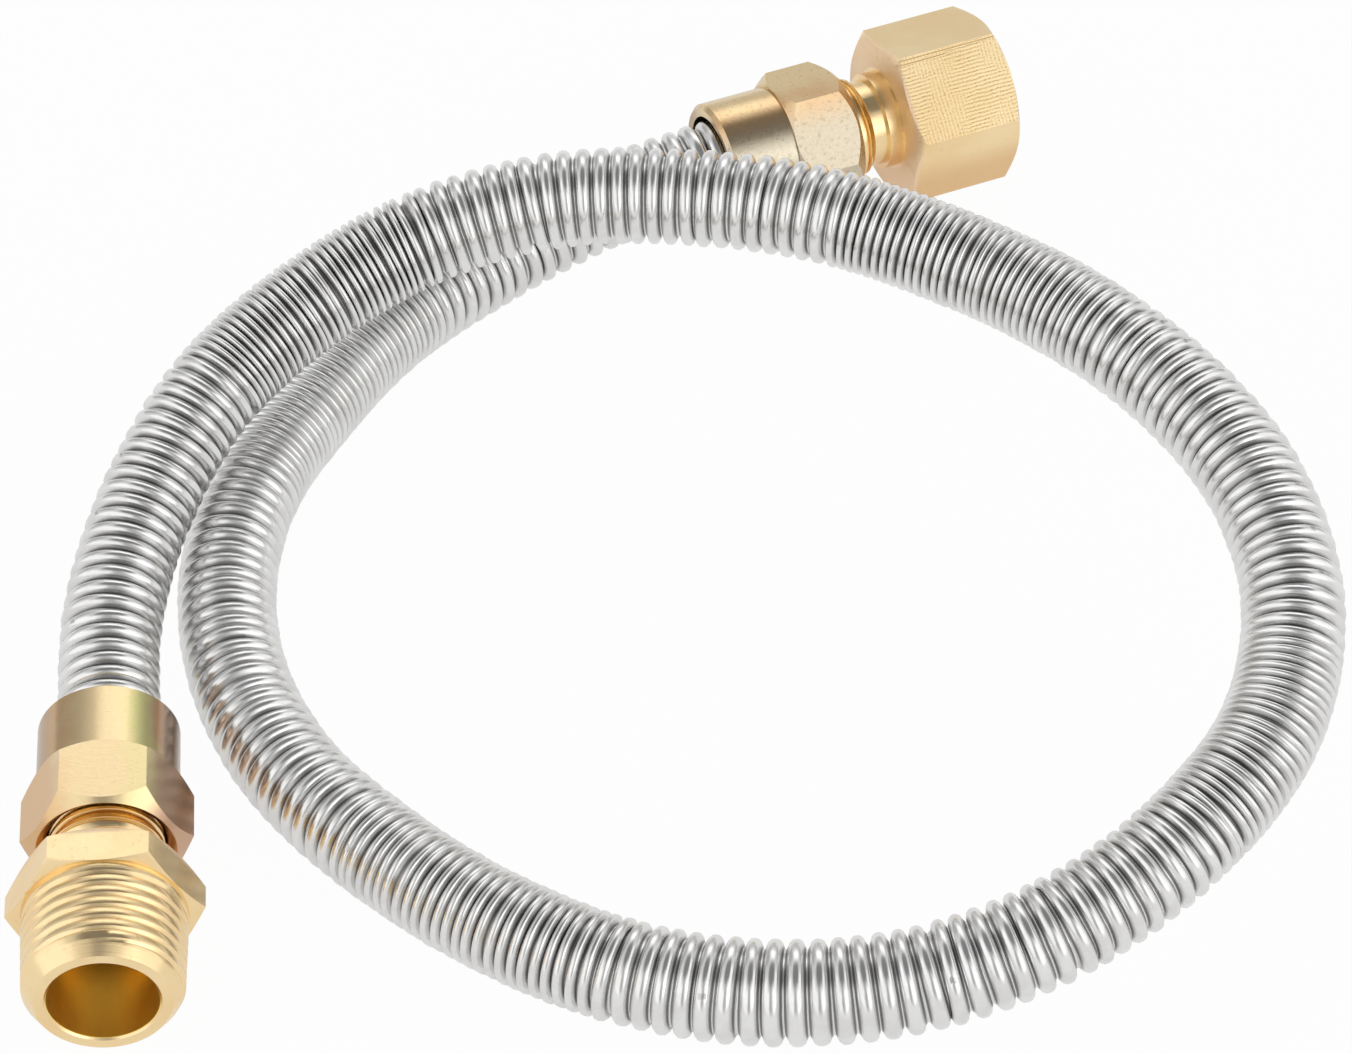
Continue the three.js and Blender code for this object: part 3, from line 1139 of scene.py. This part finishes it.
@dataclass
class Adapter:
    """What both adapters share: the nose, the flare thread, the neck and the collar."""

    end: End
    hexagon: Hexagon
    finish: BrassFinish
    nose_tip_r: float = 4.9 * MM
    neck_r: float = 6.6 * MM
    collar_start: float = 26.4 * MM
    collar_r: float = 7.4 * MM
    bore_r: float = 4.0 * MM
    drill_point_deg: float = 59.0
    thread_depth: float = 0.82 * MM
    edge: float = 0.2 * MM
    sides: int = 96
    skin: Skin = field(init=False)

    def build(self) -> bpy.types.Object:
        """Makes the adapter.

        Returns:
            The adapter's object.
        """
        self.skin = Skin(self.sides, self.hexagon.roll_deg)
        self.flare_end()
        self.skin.circle(self.collar_start, self.neck_r)
        self.skin.turned([(self.collar_start, self.collar_r),
                          (self.hexagon.start, self.collar_r)])
        self.skin.hexagon(self.hexagon)
        self.far_end()
        self.skin.close()
        self.skin.soften(self.edge)
        name = f"{self.end.name}_adapter"
        piece = self.skin.piece(f"{name}_brass", self.end.place())
        dress(piece, name, Slot.BRASS, self.finish.material(self.end, self.hexagon))
        return piece

    def flare_end(self) -> None:
        """Adds the nose, the flare thread and the neck."""
        root_r = FLARE.stub_r - self.thread_depth
        ring_r = root_r - Thread.PLAIN
        self.skin.circle(FLARE.nose(self.nose_tip_r), self.nose_tip_r)
        self.skin.turned([(FLARE.nose(ring_r), ring_r)])
        self.skin.thread(Thread(
            FLARE.nose(root_r), FLARE.stub_end, FLARE.pitch, lambda place: FLARE.stub_r,
            self.thread_depth))
        self.skin.turned([(FLARE.stub_end, self.neck_r)])

    def far_end(self) -> None:
        """Adds the pipe end and the bore, back to the nose."""
        raise NotImplementedError

    def passage(self, wide_start: float, wide_r: float) -> None:
        """Adds the drilled bottom of a wide bore and the narrow way on to the nose.

        Args:
            wide_start: Where the wide bore's bottom lies.
            wide_r: The wide bore's radius there.
        """
        cone = (wide_r - self.bore_r) / math.tan(math.radians(self.drill_point_deg))
        inner = FLARE.nose(self.nose_tip_r) + self.edge
        self.skin.turned([(wide_start - cone, self.bore_r), (inner, self.bore_r)])


# The pipe threads' pitch, slope of one side and steps round one turn.
PIPE_PITCH = 1.814 * MM
PIPE_TAPER = 1 / 32
PIPE_STEPS = 60


@dataclass
class ThreadedAdapter(Adapter):
    """The adapter with the outside pipe thread."""

    pipe_depth: float = 0.45 * MM
    pipe_length: float = 14.0 * MM
    tip_r: float = 10.3 * MM
    wide_r: float = 7.15 * MM
    wide_depth: float = 16.0 * MM
    bore_bevel: float = 0.3 * MM

    @property
    def tip(self) -> float:
        """Place of the end face."""
        return self.hexagon.end + self.pipe_length

    def crest(self, place: float) -> float:
        """Radius over the thread's crests."""
        return self.tip_r + (self.tip - place) * PIPE_TAPER

    def far_end(self) -> None:
        """Adds the taper thread, the end ring and the bore."""
        first = self.hexagon.end + Thread.PLAIN
        bottom = self.tip - self.wide_depth
        self.skin.turned([(self.hexagon.end, self.crest(first))])
        self.skin.thread(PipeThread(
            first, self.tip, PIPE_PITCH, self.crest, self.pipe_depth, steps=PIPE_STEPS))
        self.skin.turned([(self.tip, self.wide_r + self.bore_bevel),
                          (self.tip - self.bore_bevel, self.wide_r), (bottom, self.wide_r)])
        self.passage(bottom, self.wide_r)


@dataclass
class SocketAdapter(Adapter):
    """The adapter with the socket."""

    pipe_depth: float = 1.05 * MM
    socket_r: float = 9.9 * MM
    socket_depth: float = 13.5 * MM
    lead: float = 0.8 * MM

    @property
    def top(self) -> float:
        """Place of the countersink's bottom."""
        return self.hexagon.end - self.lead

    def crest(self, place: float) -> float:
        """Radius over the thread's crests."""
        return self.socket_r - (self.top - place) * PIPE_TAPER

    def far_end(self) -> None:
        """Adds the countersunk mouth, the inside taper thread and the bore."""
        mouth = self.hexagon.end
        bottom = mouth - self.socket_depth
        self.skin.turned([(mouth, self.socket_r + self.lead), (self.top, self.socket_r)])
        self.skin.thread(Thread(
            bottom + Thread.PLAIN, self.top - Thread.PLAIN, PIPE_PITCH, self.crest,
            self.pipe_depth, inside=True, steps=PIPE_STEPS), backwards=True)
        self.skin.turned([(bottom, self.crest(bottom))])
        self.passage(bottom, self.crest(bottom))


def sine(angle_deg: float) -> float:
    """Sine of an angle in degrees."""
    return math.sin(math.radians(angle_deg))


@dataclass(frozen=True)
class Card:
    """A part of the studio's walls with a level of its own, by the angle to the view.

    turn_deg runs clockwise from the way the camera looks, low_deg and high_deg up from the
    floor, and the card's edges fade over soft_deg on each side.
    """

    turn_deg: float
    half_deg: float
    low_deg: float
    high_deg: float
    level: float
    soft_deg: float = 7.0

    def share(self, nodes: Nodes, way: Socket, up: Socket, flat: Socket,
              view_deg: float) -> Socket:
        """How much of a direction the card covers.

        Args:
            nodes: Maker of the world's nodes.
            way: The direction.
            up: The direction's upward part.
            flat: The direction's level part.
            view_deg: The camera's turn about +Z.

        Returns:
            A value between 0 and 1.
        """
        soft = self.soft_deg
        share = up.step(sine(self.low_deg - soft), sine(self.low_deg + soft))
        if self.high_deg < 90:
            share = share * (1.0 - up.step(sine(self.high_deg - soft),
                                           sine(self.high_deg + soft)))
        if self.half_deg < 180:
            turn = math.radians(view_deg - self.turn_deg)
            middle = nodes.dot(way, (-math.sin(turn), math.cos(turn), 0.0)) / flat
            share = share * middle.step(
                sine(90 - self.half_deg - soft), sine(90 - self.half_deg + soft))
        return share


@dataclass
class Studio:
    """White floor, soft lights and the camera."""

    floor_side: float = 6.0
    camera_at: Vector = field(default_factory=lambda: Vector((-0.16818, -0.43117, 0.44809)))
    camera_tilt_deg: float = 46.17
    camera_turn_deg: float = -23.58
    lens_mm: float = 120.96
    sensor_mm: float = 36.0
    lamp_distance: float = 1.4
    floor_colour: Colour = (0.84, 0.83, 0.82)
    camera_white: float = 0.97
    glossy_white: float = 0.64
    wall_level: float = 0.7

    # Turn, half width, lower and upper edge in degrees, and level.
    cards: tuple[Card, ...] = (
        Card(-128, 42, -20, 46, 1.12),
        Card(115, 40, -20, 50, 1.1),
        Card(133, 14, 6, 40, 1.55),
        Card(8, 26, 26, 54, 1.2),
        Card(-42, 14, -30, 38, 0.45),
        Card(43, 9, -30, 20, 0.4),
        Card(180, 12, 6, 90, 0.45),
        Card(75, 48, 54, 90, 0.18),
        Card(0, 180, 62, 90, 0.22),
    )

    def camera(self) -> None:
        """Puts the camera where the photograph was taken from."""
        data = bpy.data.cameras.new("camera")
        data.lens = self.lens_mm
        data.sensor_width = self.sensor_mm
        data.sensor_fit = "HORIZONTAL"
        data.clip_start = 0.01
        stand = bpy.data.objects.new("camera", data)
        stand.location = self.camera_at
        stand.rotation_euler = (
            math.radians(self.camera_tilt_deg), 0.0, math.radians(self.camera_turn_deg))
        bpy.context.scene.collection.objects.link(stand)
        bpy.context.scene.camera = stand

    def floor(self) -> None:
        """Lays a white floor that keeps a soft shadow."""
        shape = bmesh.new()
        bmesh.ops.create_grid(shape, x_segments=1, y_segments=1, size=self.floor_side / 2)
        plane = made_object("floor", shape)
        nodes = Surface("white_floor")
        camera = nodes.node("ShaderNodeLightPath", {}, {}, "Is Camera Ray")
        glossy = camera.sibling("Is Glossy Ray")
        paint = nodes.node("ShaderNodeBsdfDiffuse", {}, {"Color": self.floor_colour})
        white = nodes.node("ShaderNodeEmission", {}, {"Color": WHITE, "Strength": 1.0})
        share = camera * self.camera_white + glossy * self.glossy_white
        mixed = nodes.node("ShaderNodeMixShader", {}, {0: share, 1: paint, 2: white})
        nodes.feed(nodes.tree.nodes["Material Output"].inputs["Surface"], mixed)
        plane.data.materials.append(nodes.material)

    def world(self) -> None:
        """Lights the scene from all sides, brighter and darker where the cards stand."""
        world = bpy.data.worlds.new("studio")
        world.use_nodes = True
        nodes = Nodes(world.node_tree)
        way = nodes.node("ShaderNodeTexCoord", {}, {}, "Generated")
        up = nodes.dot(way, (0.0, 0.0, 1.0))
        flat = ((1.0 - up * up).math("MAXIMUM", 1e-4)) ** 0.5
        level: Number = self.wall_level
        for card in self.cards:
            share = card.share(nodes, way, up, flat, self.camera_turn_deg)
            level = share * card.level + (1.0 - share) * level
        camera = nodes.node("ShaderNodeLightPath", {}, {}, "Is Camera Ray")
        backdrop = world.node_tree.nodes["Background"]
        nodes.feed(backdrop.inputs["Strength"], level * (1.0 - camera) + camera)
        nodes.feed(backdrop.inputs["Color"], WHITE)
        bpy.context.scene.world = world

    def lamp(self, name: str, turn_deg: float, rise_deg: float, size: tuple[float, float],
             level: float) -> None:
        """Adds a rectangular soft light that points at the hose.

        Args:
            name: The lamp's name.
            turn_deg: Its angle to the right of the camera's view.
            rise_deg: Its angle above the floor.
            size: Its width and height.
            level: How bright it looks beside a white wall.
        """
        turn, rise = math.radians(self.camera_turn_deg - turn_deg), math.radians(rise_deg)
        way = Vector((-math.sin(turn) * math.cos(rise), math.cos(turn) * math.cos(rise),
                      math.sin(rise)))
        data = bpy.data.lights.new(name, "AREA")
        data.shape = "RECTANGLE"
        data.size, data.size_y = size
        data.energy = level * math.pi * size[0] * size[1]
        lamp = bpy.data.objects.new(name, data)
        lamp.location = way * self.lamp_distance
        lamp.rotation_euler = (-way).to_track_quat("-Z", "Y").to_euler()
        bpy.context.scene.collection.objects.link(lamp)

    def build(self) -> None:
        """Sets up the floor, the world and the lights."""
        self.floor()
        self.world()
        self.lamp("key", turn_deg=8, rise_deg=42, size=(0.7, 0.4), level=0.2)
        self.lamp("side", turn_deg=133, rise_deg=20, size=(0.5, 0.4), level=0.25)
        bpy.context.scene.view_settings.view_transform = "Standard"


MALE_NUT_ROLL = -1.4
SOCKET_NUT_ROLL = -11.6
MALE_HEXAGON = Hexagon(
    start=27.4 * MM, end=32.8 * MM, across_flats=22.2 * MM, roll_deg=0.0, chamfer_deg=30.0)
SOCKET_HEXAGON = Hexagon(
    start=28.6 * MM, end=45.9 * MM, across_flats=23.7 * MM, roll_deg=-16.8, chamfer_deg=30.0)
MALE_ZINC = ZincFinish(sway=0.36, middle=0.5, pale=0.0, stained=0.1)
SOCKET_ZINC = ZincFinish(sway=0.16, middle=0.32, pale=0.85, stained=0.5)
MALE_BRASS = BrassFinish(bore_r=7.17 * MM, bore_from=33.5 * MM)
SOCKET_BRASS = BrassFinish(bore_r=10.6 * MM, bore_from=32.0 * MM, milled_deg=133.2)


def main() -> None:
    """Builds the camera, the hose, the fittings and the studio."""
    logging.basicConfig(level=logging.INFO, format="%(name)s: %(message)s")
    studio = Studio()
    studio.camera()
    male, female = End.from_frame("male"), End.from_frame("female")
    CorrugatedHose(male, female).build()
    FlareNut(male, MALE_NUT_ROLL, MALE_ZINC).build()
    FlareNut(female, SOCKET_NUT_ROLL, SOCKET_ZINC).build()
    ThreadedAdapter(male, MALE_HEXAGON, MALE_BRASS).build()
    SocketAdapter(female, SOCKET_HEXAGON, SOCKET_BRASS).build()
    studio.build()


if __name__ == "__main__":
    main()
